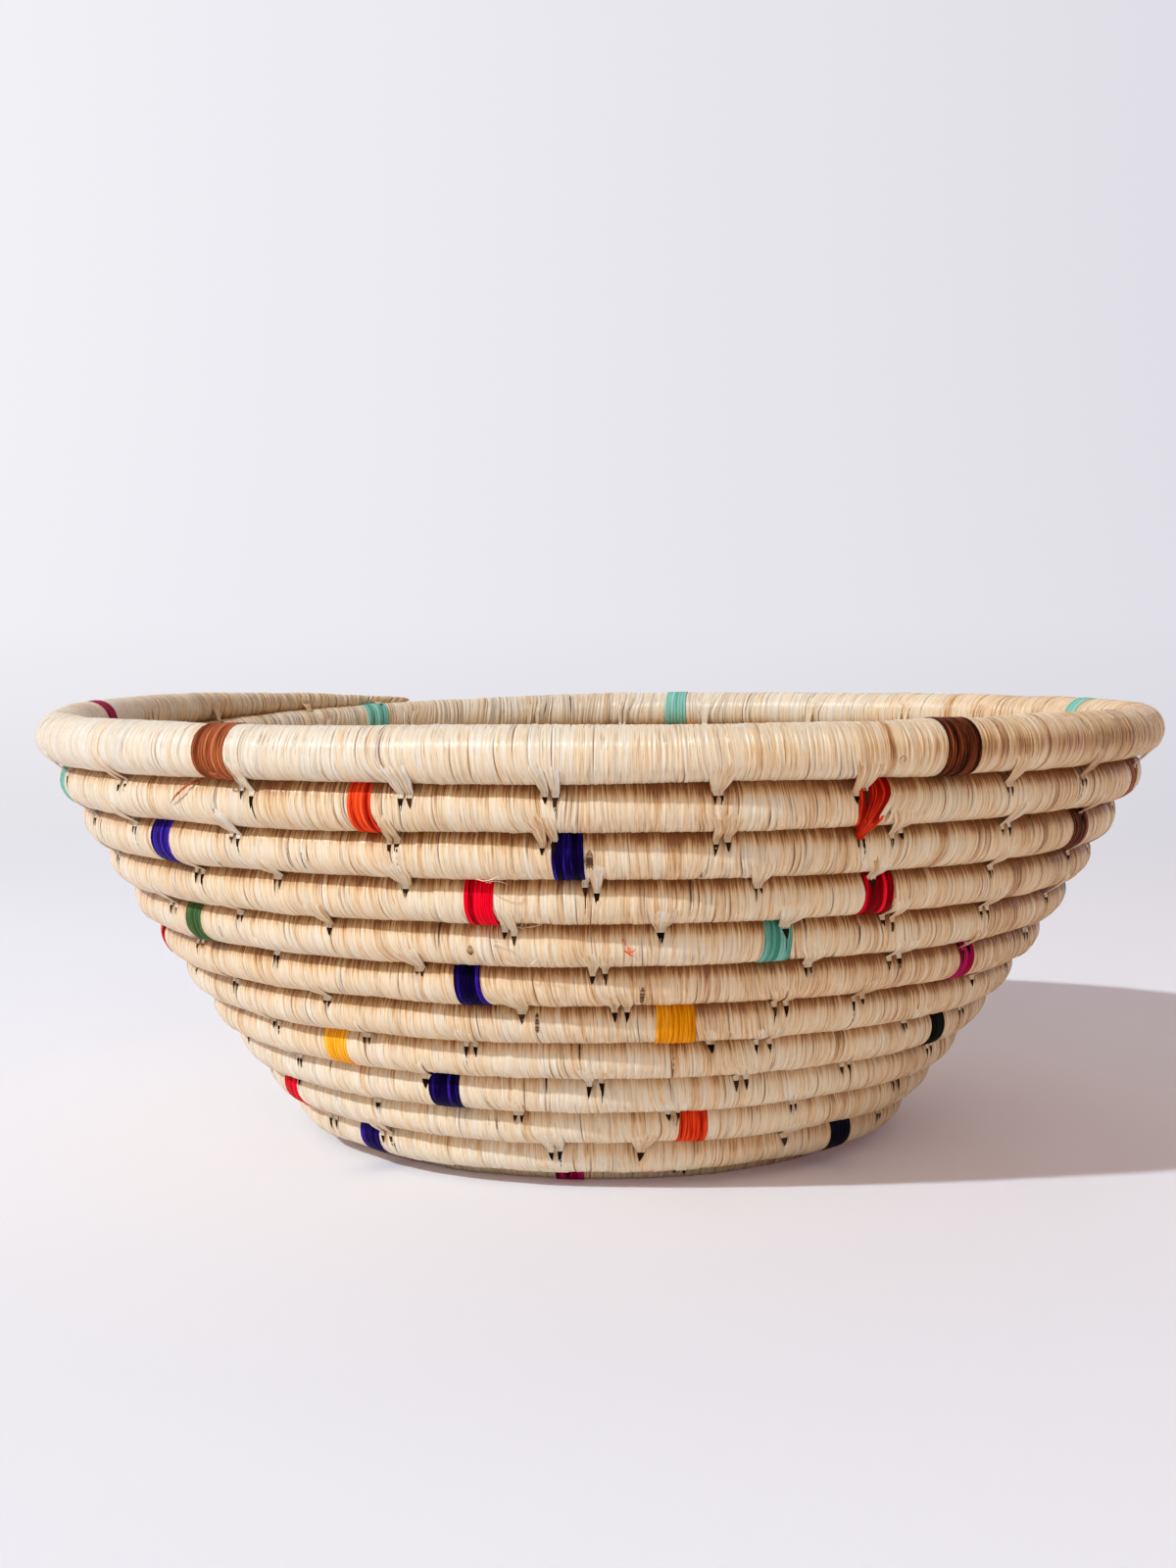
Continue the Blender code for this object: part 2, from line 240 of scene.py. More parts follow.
# Dark, middle and light tone of each dye.
DYES = {
    "brown": ((0.018, 0.003, 0.001), (0.26, 0.058, 0.017), (0.56, 0.17, 0.07)),
    "teal": ((0.05, 0.22, 0.17), (0.15, 0.41, 0.33), (0.30, 0.60, 0.52)),
    "orange": ((0.24, 0.002, 0.001), (0.88, 0.055, 0.011), (0.95, 0.13, 0.03)),
    "red": ((0.15, 0.0, 0.002), (0.90, 0.0005, 0.017), (0.96, 0.006, 0.03)),
    "indigo": ((0.001, 0.0003, 0.008), (0.004, 0.0006, 0.042), (0.050, 0.018, 0.42)),
    "navy": ((0.001, 0.001, 0.003), (0.002, 0.0015, 0.009), (0.008, 0.006, 0.035)),
    "green": ((0.012, 0.03, 0.010), (0.05, 0.12, 0.035), (0.15, 0.25, 0.09)),
    "magenta": ((0.14, 0.0, 0.015), (0.36, 0.0, 0.056), (0.60, 0.02, 0.17)),
    "yellow": ((0.46, 0.13, 0.0), (0.86, 0.32, 0.002), (0.98, 0.52, 0.06)),
    "black": ((0.0001, 0.0002, 0.0001), (0.0004, 0.0006, 0.0003), (0.005, 0.006, 0.004)),
}

random = np.random.default_rng(11)


def smooth(share):
    share = np.clip(share, 0.0, 1.0)
    return share * share * (3 - 2 * share)


def level_at(turn):
    whole = np.floor(turn)
    return whole + smooth((turn - whole - LEVEL_TURNS) / CLIMB_TURNS)


def spacing_at(level):
    return RIM_SPACING + (FLOOR_SPACING - RIM_SPACING) * np.clip(level / WALL_TURNS, 0.0, 1.0)


def profile_length(level):
    up = WALL_TURNS - level
    return up * (spacing_at(level) + FLOOR_SPACING) / 2 + KNUCKLE_EASE * np.minimum(up, 1)


def profile_at(level):
    """Radius and height of the line that the coils' middles follow."""
    along = profile_length(level)
    knuckle = KNUCKLE_RADIUS * WALL_LEAN
    wall_radius = (profile_length(0.0) - knuckle) / (RIM_LEAN - WALL_LEAN)
    low = np.clip(along, 0, knuckle) / KNUCKLE_RADIUS
    high = WALL_LEAN + np.maximum(along - knuckle, 0) / wall_radius
    radius = FLOOR_RADIUS + KNUCKLE_RADIUS * np.sin(low) + wall_radius * (np.sin(high) - math.sin(WALL_LEAN))
    height = KNUCKLE_RADIUS * (1 - np.cos(low)) + wall_radius * (math.cos(WALL_LEAN) - np.cos(high))
    on_floor = level >= WALL_TURNS
    return (
        np.where(on_floor, FLOOR_RADIUS - (level - WALL_TURNS) * FLOOR_SPACING, radius),
        np.where(on_floor, 0.0, height),
    )


def taper_at(turn):
    along = (TAIL_END + TAPER_TURNS - turn) / TAPER_TURNS
    return 1 - (1 - TIP_SHARE) * np.clip(along, 0.0, 1.1) ** TAPER_POWER


def path_table():
    """Radius, height, lean, reach and length along the coil, at closely spaced turns."""
    turn = np.arange(TAIL_END - 0.01, SPIRAL_START + 0.01, PATH_STEP)
    level = level_at(turn)
    radius, height = profile_at(level)
    below_radius, below_height = profile_at(level_at(turn + 1))
    half = (spacing_at(level) - COIL_GAP) / 2 * taper_at(turn)
    half_below = (spacing_at(level_at(turn + 1)) - COIL_GAP) / 2
    share = (half + half_below + COIL_GAP) / np.hypot(radius - below_radius, height - below_height)
    share = np.where(turn < TAIL_END + TAPER_TURNS, share, 1.0)
    radius = below_radius + (radius - below_radius) * share
    height = below_height + (height - below_height) * share
    azimuth = START_AZIMUTH + math.tau * turn
    wave = RIM_WAVE * (1 - np.clip(level / WALL_TURNS, 0, 1)) * np.cos(azimuth - RIM_WAVE_AZIMUTH)
    height = height + (FLOOR_SPACING - COIL_GAP) / 2 - FLOOR_CUT + wave
    out_radius, out_height = profile_at(level - 1)
    in_radius, in_height = profile_at(level + 1)
    lean = np.arctan2(out_height - in_height, out_radius - in_radius)
    reach = (spacing_at(level) / 2 + PRESS) * taper_at(turn)
    points = np.stack((radius * np.cos(azimuth), radius * np.sin(azimuth), height), axis=1)
    steps = np.linalg.norm(np.diff(points, axis=0), axis=1)
    along = np.concatenate(((0.0,), np.cumsum(steps)))
    return {"turn": turn, "radius": radius, "height": height, "lean": lean, "reach": reach, "along": along}


PATH = path_table()


def at_turn(what, turn):
    return np.interp(turn, PATH["turn"], PATH[what])


def turn_at(along):
    return np.interp(along, PATH["along"], PATH["turn"])


def along_at_turn(turn):
    return float(at_turn("along", turn))


def along_at_azimuth(number, azimuth):
    """How far along the coil a place is, from its turn's number from the rim and its azimuth in degrees."""
    return along_at_turn((math.radians(azimuth) - START_AZIMUTH) / math.tau + number - 1)


COIL_START = along_at_turn(TAIL_END)
COIL_END = along_at_turn(SPIRAL_START)


def place(along, angle, lift):
    """Points on the coil: how far along it, the angle round its section, and how far out of its surface.

    The angle is 0 towards the coil above, a quarter turn on the bowl's outside, and half a turn at the coil
    below.
    """
    turn = turn_at(along)
    azimuth = START_AZIMUTH + math.tau * turn
    direction = at_turn("lean", turn) - angle
    reach = at_turn("reach", turn) * (1 - BULGE * np.cos(2 * angle)) + lift
    out = at_turn("radius", turn) + reach * np.cos(direction)
    up = at_turn("height", turn) + reach * np.sin(direction)
    up = np.maximum(up, GROUND_HEIGHT + 0.3 * np.maximum(GROUND_LIFT - lift, 0))
    return np.stack((out * np.cos(azimuth) + AXIS[0], out * np.sin(azimuth) + AXIS[1], up), axis=-1)


def row_at(angle):
    return int(round(angle / math.tau * ROWS)) % ROWS


def near(values, middle, width):
    """1 at the middle, falling smoothly to 0 a few widths away."""
    return np.exp(-(((values - middle) / width) ** 2))


def angle_near(angle, middle, width):
    apart = (angle - middle + math.pi) % math.tau - math.pi
    return np.exp(-((apart / width) ** 2))


def folded(angle):
    """The angle from the coil above, the same on the bowl's outside and inside."""
    return np.abs((angle + math.pi) % math.tau - math.pi)


def window(along, middle, before, after):
    """The columns from one distance before a place to another after it, and how far past it each is."""
    part = slice(*np.searchsorted(along, (middle - before, middle + after)))
    return part, (along[part] - middle)[:, None]


def dyed_runs():
    found = []
    for number, (colour, turn_number, azimuth, width) in enumerate(DYED_RUN_SHARES, 1):
        middle = along_at_azimuth(turn_number, azimuth)
        half = DYED_WIDTH * width / 2
        found.append((f"dyed_run_{number:02d}_{colour}", colour, middle - half, middle + half))
    return found


def stitches():
    """Every stitch, as how far along the upper coil it is: those seen, and the rest spaced likewise."""
    seen = []
    for number, azimuths in SEEN_STITCHES.items():
        seen += [along_at_azimuth(number, azimuth) for azimuth in azimuths]
    found = []
    here = COIL_START + FIRST_STITCH
    for there in sorted(seen) + [along_at_turn(SPIRAL_START - 1)]:
        gap = there - here
        steps = max(int(round(gap / STITCH_SPACING)), 1)
        for step in range(steps):
            jitter = 0.0 if step == 0 else random.uniform(-0.22, 0.22) * gap / steps
            stitch = here + gap * step / steps + jitter
            for _, _, run_start, run_end in DYED:
                if step and run_start - 0.004 < stitch < run_end + 0.004:
                    stitch = run_end + 0.005
            found.append(stitch)
        here = there
    return np.array(sorted(found))


def in_dyed_run(where):
    for name, _, run_start, run_end in DYED:
        if run_start < where < run_end:
            return name
    return None


DYED = dyed_runs()
STITCHES = stitches()
DRIFTS = np.clip(random.normal(STITCH_DRIFT, 0.0006, len(STITCHES)), -0.0002, 0.0024)
# The dyed run that each stitch belongs to, if any, and how far each run follows the strands beside it.
HOMES = [in_dyed_run(start + drift / 2) for start, drift in zip(STITCHES, DRIFTS)]
FOLLOW = {name: 1.0 if name in HOMES else 0.35 for name, _, _, _ in DYED}


def columns():
    """Every column of the binding: place along the coil, lift, tone, shade, and if it starts a ribbon."""
    widths = np.clip(random.lognormal(math.log(RIBBON_WIDTH), RIBBON_SPREAD, RIBBON_COUNT), *RIBBON_LIMITS)
    edges = COIL_START + np.concatenate(((0.0,), np.cumsum(widths)))
    edges = edges[edges < COIL_END]
    found = []
    for start, width in zip(edges, widths):
        tone = random.normal(RIBBON_TONE, 0.044)
        if random.random() < DARK_RIBBONS:
            tone -= random.uniform(0.08, 0.24)
        edge = random.uniform(0.01, 0.11) * MM
        fall = random.uniform(0.01, 0.13) * MM
        groove = random.uniform(0.01, 0.13) * MM
        line = random.choice(LINE_SHADES, p=LINE_ODDS) * random.uniform(0.6, 1.3)
        found.append((start, -groove, tone, line, True))
        found.append((start + EDGE_STEP, edge, tone + 0.05, 0.0, False))
        inner = max(int(round((width - EDGE_STEP) / COLUMN_STEP)), 1)
        for step in range(1, inner):
            share = step / inner
            lift = edge - fall * share * share + random.normal(0, 0.035) * MM
            own_tone = tone + random.normal(0, 0.045)
            shade = max(random.normal(-0.03, 0.09), 0.0)
            found.append((start + EDGE_STEP + (width - EDGE_STEP) * share, lift, own_tone, shade, False))
    return np.ascontiguousarray(np.array(found, dtype=float).T)


def corners(left, right, low, high):
    """The place of each face's four corners on a map."""
    sides = np.broadcast_arrays(left, low, right, low, right, high, left, high)
    return np.stack(sides, axis=-1).reshape(-1, 8)


def add_object(name, data):
    made = bpy.data.objects.new(name, data)
    bpy.context.scene.collection.objects.link(made)
    return made


def new_mesh(name, patches, material):
    """One object from several grids of points. A patch with a length around closes on itself."""
    points, faces, strand, bake = [], [], [], []
    fields = {"tone": [], "shade": []}
    base = 0
    for patch in patches:
        count, rows = patch["points"].shape[:2]
        points.append(patch["points"].reshape(-1, 3))
        for key, values in fields.items():
            values.append(np.broadcast_to(patch[key], (count, rows)).reshape(-1))
        face_rows = rows if "around" in patch else rows - 1
        column = np.arange(count - 1)[:, None]
        row = np.arange(face_rows)[None, :]
        beyond = (row + 1) % rows
        here = base + column * rows
        faces.append(np.stack((here + row, here + rows + row, here + rows + beyond, here + beyond), axis=-1))
        u, v = patch["u"], patch["v"]
        v_high = np.where(beyond > row, v[beyond], v[0] + patch.get("around", 0.0))
        strand.append(corners(u[:-1, None], u[1:, None], v[row], v_high))
        x0, y0, x1, y1 = patch["atlas"]
        strips = patch.get("strips", 1)
        per_strip = -(-(count - 1) // strips)
        strip, step = column // per_strip, column % per_strip
        height = (y1 - y0) / strips
        across = [COLUMN_MARGIN + (1 - 2 * COLUMN_MARGIN) * (step + end) / per_strip for end in (0, 1)]
        up = [ROW_MARGIN + (1 - 2 * ROW_MARGIN) * (row + end) / face_rows for end in (0, 1)]
        left, right = [x0 + (x1 - x0) * share for share in across]
        low, high = [y0 + (strip + share) * height for share in up]
        bake.append(corners(left, right, low, high))
        base += count * rows
    points = np.concatenate(points)
    faces = np.concatenate([some.reshape(-1, 4) for some in faces])
    mesh = bpy.data.meshes.new(name)
    mesh.vertices.add(len(points))
    mesh.vertices.foreach_set("co", points.astype(np.float32).ravel())
    mesh.loops.add(faces.size)
    mesh.loops.foreach_set("vertex_index", faces.astype(np.int32).ravel())
    mesh.polygons.add(len(faces))
    mesh.polygons.foreach_set("loop_start", np.arange(0, faces.size, 4, dtype=np.int32))
    mesh.polygons.foreach_set("use_smooth", np.ones(len(faces), dtype=bool))
    for map_name, values in (("OFBake", bake), ("strand", strand)):
        layer = mesh.uv_layers.new(name=map_name)
        layer.uv.foreach_set("vector", np.concatenate(values).astype(np.float32).ravel())
    mesh.update(calc_edges=True)
    for key, values in fields.items():
        attribute = mesh.attributes.new(key, "FLOAT", "POINT")
        attribute.data.foreach_set("value", np.concatenate(values).astype(np.float32))
    mesh.materials.append(material)
    made = add_object(name, mesh)
    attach(made, "root")
    return made


def grid_patch(points, tone, shade, u, v, **more):
    """A grid of points, with their tone and shade, and how far each column and row lies on the strand map."""
    return {"points": points, "tone": tone, "shade": shade, "u": u, "v": v, **more}


def in_cells(patches, low=CELLS_LOW):
    """Lays small patches out side by side on the bake map, from the given height up."""
    for number, patch in enumerate(patches):
        patch["atlas"] = (number / len(patches), low, (number + 1) / len(patches), 1.0)
    return patches


def connect(tree, socket, value):
    """Links a value that is itself a socket, and sets any other."""
    if isinstance(value, bpy.types.NodeSocket):
        tree.links.new(value, socket)
    else:
        socket.default_value = value


def add_node(tree, kind, inputs=None, **settings):
    node = tree.nodes.new("ShaderNode" + kind)
    for key, value in settings.items():
        setattr(node, key, value)
    for key, value in (inputs or {}).items():
        connect(tree, node.inputs[key], value)
    return node


def new_material(name):
    """A material with an empty node tree, and the socket that takes its surface."""
    material = bpy.data.materials.new(name)
    material.use_nodes = True
    tree = material.node_tree
    tree.nodes.clear()
    return material, tree, add_node(tree, "OutputMaterial").inputs["Surface"]


def scaled_noise(tree, source, across, along, detail, roughness=0.6):
    """Noise on the strand map, in features per millimetre across the strand and along it."""
    scaled = add_node(tree, "Mapping", {"Vector": source, "Scale": (across, along, 1.0)})
    inputs = {"Vector": scaled.outputs["Vector"], "Scale": 1.0, "Detail": detail, "Roughness": roughness}
    return add_node(tree, "TexNoise", inputs, noise_dimensions="2D").outputs["Fac"]


def math_node(tree, operation, *values, clamp=False):
    node = add_node(tree, "Math", dict(enumerate(values)), operation=operation, use_clamp=clamp)
    return node.outputs[0]


def ramp_up(tree, value, gain, start):
    """A value times a gain, from a start, held between 0 and 1."""
    return math_node(tree, "MULTIPLY_ADD", value, gain, start, clamp=True)


def swing(tree, value, noise, gain, clamp=False):
    """A value moved up and down by a noise that runs from 0 to 1."""
    return math_node(tree, "MULTIPLY_ADD", math_node(tree, "SUBTRACT", noise, 0.5), gain, value, clamp=clamp)


def above(tree, value, level, gain):
    """How far a value is above a level, times a gain, up to 1."""
    over = math_node(tree, "SUBTRACT", value, level, clamp=True)
    return math_node(tree, "MULTIPLY", over, gain, clamp=True)


def mix_colour(tree, share, first, second, blend="MIX"):
    first, second = [(*value, 1.0) if isinstance(value, tuple) else value for value in (first, second)]
    inputs = {0: share, 6: first, 7: second}
    return add_node(tree, "Mix", inputs, data_type="RGBA", blend_type=blend).outputs[2]


def mix_shaders(tree, share, first, second):
    return add_node(tree, "MixShader", {0: share, 1: first, 2: second}).outputs["Shader"]


def colour_ramp(tree, value, stops):
    ramp = add_node(tree, "ValToRGB", {"Fac": value})
    elements = ramp.color_ramp.elements
    while len(elements) < len(stops):
        elements.new(0.5)
    for element, (position, colour) in zip(elements, stops):
        element.position = position
        element.color = (*colour, 1.0)
    return ramp.outputs["Color"]


def raffia_material(name, stops, line, gap, roughness, specular, contrast):
    """Split palm leaf: fine fibres along it, tones that differ from ribbon to ribbon, and dark grooves."""
    material, tree, surface = new_material(name)
    shader = add_node(tree, "BsdfPrincipled")
    tree.links.new(shader.outputs["BSDF"], surface)
    strand = add_node(tree, "UVMap", uv_map="strand").outputs["UV"]
    fields = [add_node(tree, "Attribute", attribute_name=key) for key in ("tone", "shade")]
    tone, shade = [field.outputs["Fac"] for field in fields]
    fibre = scaled_noise(tree, strand, 1.9, 0.07, 3.0, 0.7)
    fine = scaled_noise(tree, strand, 5.5, 0.18, 2.0, 0.6)
    broad = scaled_noise(tree, strand, 0.055, 0.05, 2.0, 0.5)
    value = swing(tree, tone, fibre, contrast)
    value = swing(tree, value, fine, contrast * 0.6)
    value = swing(tree, value, broad, 0.30, clamp=True)
    colour = colour_ramp(tree, value, stops)
    # Thin dark lines that start and stop along the strand.
    across = scaled_noise(tree, strand, 2.7, 0.12, 2.0, 0.6)
    lines = math_node(tree, "MULTIPLY", above(tree, across, 0.63, 7.0), 0.62)
    colour = mix_colour(tree, lines, colour, line)
    # The shade attribute darkens lines between ribbons, and carries painted shade in partings and gaps.
    low = math_node(tree, "MULTIPLY", shade, 1.7, clamp=True)
    colour = mix_colour(tree, math_node(tree, "MINIMUM", low, 0.92), colour, line)
    # The deepest shade goes near black: dark grass in gaps, with painted shade.
    colour = mix_colour(tree, above(tree, shade, 0.55, 2.6), colour, gap)
    tree.links.new(colour, shader.inputs["Base Color"])
    gloss = swing(tree, roughness, fibre, 0.4)
    tree.links.new(ramp_up(tree, shade, 0.4, gloss), shader.inputs["Roughness"])
    relief = math_node(tree, "MULTIPLY_ADD", fine, 0.45, fibre)
    relief = math_node(tree, "MULTIPLY_ADD", lines, -0.6, relief)
    bump = add_node(tree, "Bump", {"Strength": 0.75, "Distance": 0.00022, "Height": relief})
    tree.links.new(bump.outputs["Normal"], shader.inputs["Normal"])
    shader.inputs["Specular IOR Level"].default_value = specular
    return material


class Weave:
    """The natural binding, as columns of points along the coil and rows round its section."""

    def __init__(self):
        self.along, lift, tone, shade, first = columns()
        self.ribbon_starts = np.flatnonzero(first)
        self.add_relief(lift)
        self.add_tones(tone)
        phase = random.uniform(0, math.tau, len(self.along))[:, None]
        self.shades = shade[:, None] * (0.55 + 0.45 * np.sin(2 * ROW_ANGLES + phase))
        self.draw_to_stitches()
        self.draw_to_point()
        # The surface that stitches and fibres lie on is evened out over a few columns.
        sums = np.cumsum(np.pad(self.lifts, ((5, 4), (0, 0)), mode="edge"), axis=0)
        self.even = (sums[9:] - sums[:-9]) / 9

    def noise(self, scale):
        """Random numbers from about -1 to 1 that change smoothly over the given length of coil."""
        count = int(self.along.max() / scale) + 4
        knots = random.uniform(-1, 1, count + 1)
        where = self.along / scale
        whole = np.floor(where).astype(int)
        part = smooth(where - whole)
        return knots[whole] * (1 - part) + knots[whole + 1] * part

    def add_relief(self, lift):
        """How far each point is shifted along the coil and lifted off it: ribbons slant, swell and wander."""
        slant = 0.00035 + 0.0005 * self.noise(0.011) + 0.0004 * self.noise(0.037)
        self.shift = -slant[:, None] * np.cos(ROW_ANGLES)
        self.shift += (0.00028 * self.noise(0.006))[:, None] * np.sin(2 * ROW_ANGLES)
        self.swell = 0.00018 * self.noise(0.016) + 0.00012 * self.noise(0.006)
        self.lifts = (lift + self.swell)[:, None] + (0.00016 * self.noise(0.021))[:, None] * np.sin(ROW_ANGLES)
        self.lifts += (0.00014 * self.noise(0.027))[:, None] * np.cos(2 * ROW_ANGLES + 0.6)

    def add_tones(self, tone):
        """Painted light and shade: upper coils paler, lower ones a little pale, the grooves dark."""
        tone = tone + 0.04 * self.noise(0.05) + 0.04 * self.noise(0.21)
        turn = turn_at(self.along)
        azimuth = START_AZIMUTH + math.tau * turn
        on_rim = smooth((0.5 - turn) / 0.3)
        low_down = smooth((turn - 5) / 3)
        # Painted light: the rim and upper coils are made a little paler, the lower coils more so.
        tone = tone + 0.01 * on_rim + 0.04 * smooth((2.5 - turn) / 3) + 0.13 * low_down
        # Painted light and shade, by azimuth round the bowl.
        for amount, middle, width, rim_alone in PAINTED_LIGHT_AND_SHADE:
            painted_spot = angle_near(azimuth, math.radians(middle), width) * (on_rim if rim_alone else 1.0)
            tone = tone + amount * painted_spot
        side = folded(ROW_ANGLES)
        # Painted shade: the coils darken towards the grooves between them, less so low down.
        groove_painted_shade = smooth((turn - TAIL_END - 1) / 0.1) * (1 - 0.5 * low_down)
        self.tones = tone[:, None] - 0.48 * smooth((1.05 - side) / 0.6) * groove_painted_shade[:, None]
        self.tones -= 0.14 * smooth((side - 2.3) / 0.5)
        # Painted shade: a darker band across the rim's outside at the right front, turned from the light.
        rim_painted_shade = angle_near(azimuth, math.radians(-50), 0.40) * on_rim
        self.tones -= 0.30 * rim_painted_shade[:, None] * angle_near(ROW_ANGLES, math.radians(62), 0.45)

    def draw_to_stitches(self):
        """Draws the columns together over each stitch, and parts them in the coil below it."""
        side = folded(ROW_ANGLES)
        grip = smooth((side - 1.15) / 1.2)
        opening = smooth((1.35 - side) / 0.8)
        beyond_top = opening * (side > 0.6)
        for middle, drift in zip(STITCHES, DRIFTS):
            part, x = window(self.along, middle, 0.016, 0.016)
            self.shift[part] += (drift - x * 0.42) * near(x, -0.0004, 0.0050) * grip
            self.lifts[part] -= 0.00018 * near(x, 0.0004, 0.0036) * grip
            part, x = window(self.along, along_at_turn(turn_at(middle + drift) + 1), 0.012, 0.012)
            self.shift[part] += 0.0005 * np.tanh(x / 0.0006) * near(x, 0, 0.0034) * opening
            self.lifts[part] -= 0.00025 * near(x, 0, 0.0012) * beyond_top
            # The parting is darkened: a dark joint, with painted shade round it.
            self.shades[part] = np.maximum(self.shades[part], 0.5 * near(x, 0, 0.0004) * beyond_top)

    def draw_to_point(self):
        """The pointed run: its strands, and those beside it, lean in towards its lower left corner."""
        _, _, run_start, run_end = DYED[POINTED_RUN - 1]
        width = run_end - run_start
        part, x = window(self.along, run_start, 0, width + POINTED_REACH)
        drawn = np.where(x < width, x, width * (1 - smooth((x - width) / POINTED_REACH)))
        outside = smooth((ROW_ANGLES - 0.7) / 1.3) * (ROW_ANGLES < math.pi)
        self.shift[part] -= 0.50 * drawn * outside

    def column_at(self, where):
        return min(int(np.searchsorted(self.along, where)), len(self.along) - 1)

    def surface(self, where, angle):
        """How far the binding stands off the coil's plain surface at a place."""
        return float(self.even[self.column_at(where), row_at(angle)])

    def tone_near(self, where, row):
        column = self.column_at(where)
        return float(self.tones[max(column - 8, 0):column + 8, row].mean())

    def keep_off(self, at, angle):
        """Moves a natural strand that would lie on a dyed run to the run's nearer side."""
        row = row_at(angle)
        for name, _, run_start, run_end in DYED:
            if at[-1] < run_start - 0.003 or at[0] > run_end + 0.003:
                continue
            ends = np.array((run_start, run_end))
            left, right = ends + FOLLOW[name] * np.interp(ends, self.along, self.shift[:, row])
            if at.mean() > (left + right) / 2:
                at = np.maximum(at, right + 0.0002 + np.linspace(0, 0.0002, len(at)))
            else:
                at = np.minimum(at, left - 0.0002 - np.linspace(0.0002, 0, len(at)))
        return at

    def part_beside_run(self):
        """A gap beside one run, where the grass shows."""
        part, x = window(self.along, DYED[PARTED_RUN - 1][-1], 0.0006, 0.0022)
        gap = near(x, 0.0008, 0.0009) * angle_near(ROW_ANGLES, math.radians(105), 0.55)
        self.lifts[part] -= 0.0014 * gap
        self.shades[part] = np.maximum(self.shades[part], np.minimum(1.2 * gap, 0.85))

    def cut_slits(self):
        """Short slits between ribbons, some of which show the grass. Returns those, as gaps."""
        gaps = []
        for column in random.choice(self.ribbon_starts[5:-5], SLITS, replace=False):
            middle = random.uniform(0, math.tau)
            reach = random.uniform(0.15, 0.9)
            slit = angle_near(ROW_ANGLES, middle, reach)
            self.lifts[column] -= 0.0004 * slit
            self.shades[column] = np.maximum(self.shades[column], 0.7 * slit)
            if random.random() < 0.45:
                length = reach * random.uniform(0.8, 1.6) * SECTION_RADIUS
                where = float(self.along[column] + np.interp(middle, ROW_ANGLES, self.shift[column]))
                angle = middle - 0.5 * length / SECTION_RADIUS * math.copysign(1, math.sin(middle))
                gaps.append((where, angle, random.uniform(0.10, 0.32) * MM, length))
        return gaps

    def settle(self):
        """Presses turns on each other, sinks the binding under dyed runs and rounds off both ends."""
        pressed = np.abs(np.sin(ROW_ANGLES)) < 0.3
        self.lifts[:, pressed] = np.maximum(self.lifts[:, pressed], 0.00009)
        for _, _, run_start, run_end in DYED:
            near_run = (self.along > run_start - 0.0012) & (self.along < run_end + 0.0012)
            self.lifts[near_run] = 0.4 * self.lifts[near_run] + 0.6 * self.swell[near_run][:, None]
            self.lifts[(self.along > run_start + 0.0008) & (self.along < run_end - 0.0008)] -= DYED_SUNK
        reach = at_turn("reach", turn_at(self.along))
        for inward in ((self.along - COIL_START) / 0.0025, (COIL_END - self.along) / 0.004):
            rounding = 1 - np.sqrt(np.clip(1 - (1 - np.clip(inward, 0, 1)) ** 2, 0, 1))
            self.lifts -= (rounding * reach)[:, None] * 0.999

    def level_at_gap(self, where, angle):
        column = self.column_at(where)
        if in_dyed_run(where):
            return DYED_PROUD + float(self.swell[column])
        return float(np.mean(self.lifts[max(column - 2, 0):column + 3, row_at(angle)]))


def tongue(weave, start, drift, offset, side, width, tip_width, strands, tone, on_dyed_run):
    """Strands of a stitch: they leave the upper coil, cross the groove and go into the coil below.

    Returns the grid, and where it goes in: how far along the coil below, and at which angle.
    """
    across = np.linspace(-0.5, 0.5, 3 * strands + 1)
    middle_column = len(across) // 2
    between_strands = np.arange(len(across)) % 3 == 0
    crown = np.where(between_strands, -0.05, 0.02) * MM + random.normal(0, 0.015, len(across)) * MM
    crown[[0, -1]] = -0.30 * MM
    reach_down = random.normal(0, 0.06)
    low_along = along_at_turn(turn_at(start + drift) + 1) + offset * 0.68 + random.normal(0, 0.0002)
    upper = []
    for angle, lift, share in zip(UPPER_ANGLES, UPPER_LIFTS, UPPER_WIDTHS):
        drawn = smooth((angle - 1.15) / 1.2)
        middle = start + offset * (1 - 0.3 * drawn) + drift * drawn
        level = lift + weave.surface(middle, side * angle)
        at = middle + across * width * share
        if not on_dyed_run:
            at = weave.keep_off(at, side * angle)
        upper.append(place(at, side * angle, level + crown))
    lean = max(float(at_turn("lean", turn_at(low_along))), math.radians(50))
    low_widths = (0.18 * width + 0.82 * tip_width, 1.05 * tip_width, tip_width, 0.95 * tip_width)
    lower = []
    for direction, lift, low_width in zip(LOWER_DIRECTIONS, LOWER_LIFTS, low_widths):
        angle = lean - direction + reach_down
        level = lift + weave.surface(low_along, side * angle)
        lower.append(place(low_along + across * low_width, side * angle, level + crown * 0.8))
    leaves, arrives = upper[-1], lower[0]
    out = (leaves[middle_column] + arrives[middle_column]) / 2 - AXIS
    out[2] = 0.0
    out *= side / np.linalg.norm(out)
    bridge = [
        leaves * (1 - share) + arrives * share + out * BRIDGE_RISE * math.sin(math.pi * share)
        for share in BRIDGE_SHARES
    ]
    grid = np.array(upper + bridge + lower).transpose(1, 0, 2)
    grooves = np.where(between_strands, random.uniform(0.0, 0.36, len(across)), 0.0)
    shade = grooves[:, None] * np.linspace(0.5, 1.0, grid.shape[1])
    # Painted shade along the tongue's edges and at its end, where it goes into the coil below.
    shade[(0, -1), 2:] = 0.65
    shade[:, -1] = 0.6
    by_strand = np.repeat(random.normal(0, 0.085, strands), 3)
    tones = tone + np.append(by_strand, by_strand[-1])[:, None]
    u, v = (start + across * width) / MM, np.linspace(0, 13, grid.shape[1])
    patch = grid_patch(grid[::-1] if side < 0 else grid, tones, shade, u, v)
    return patch, low_along, lean - float(LOWER_DIRECTIONS[2]) + reach_down


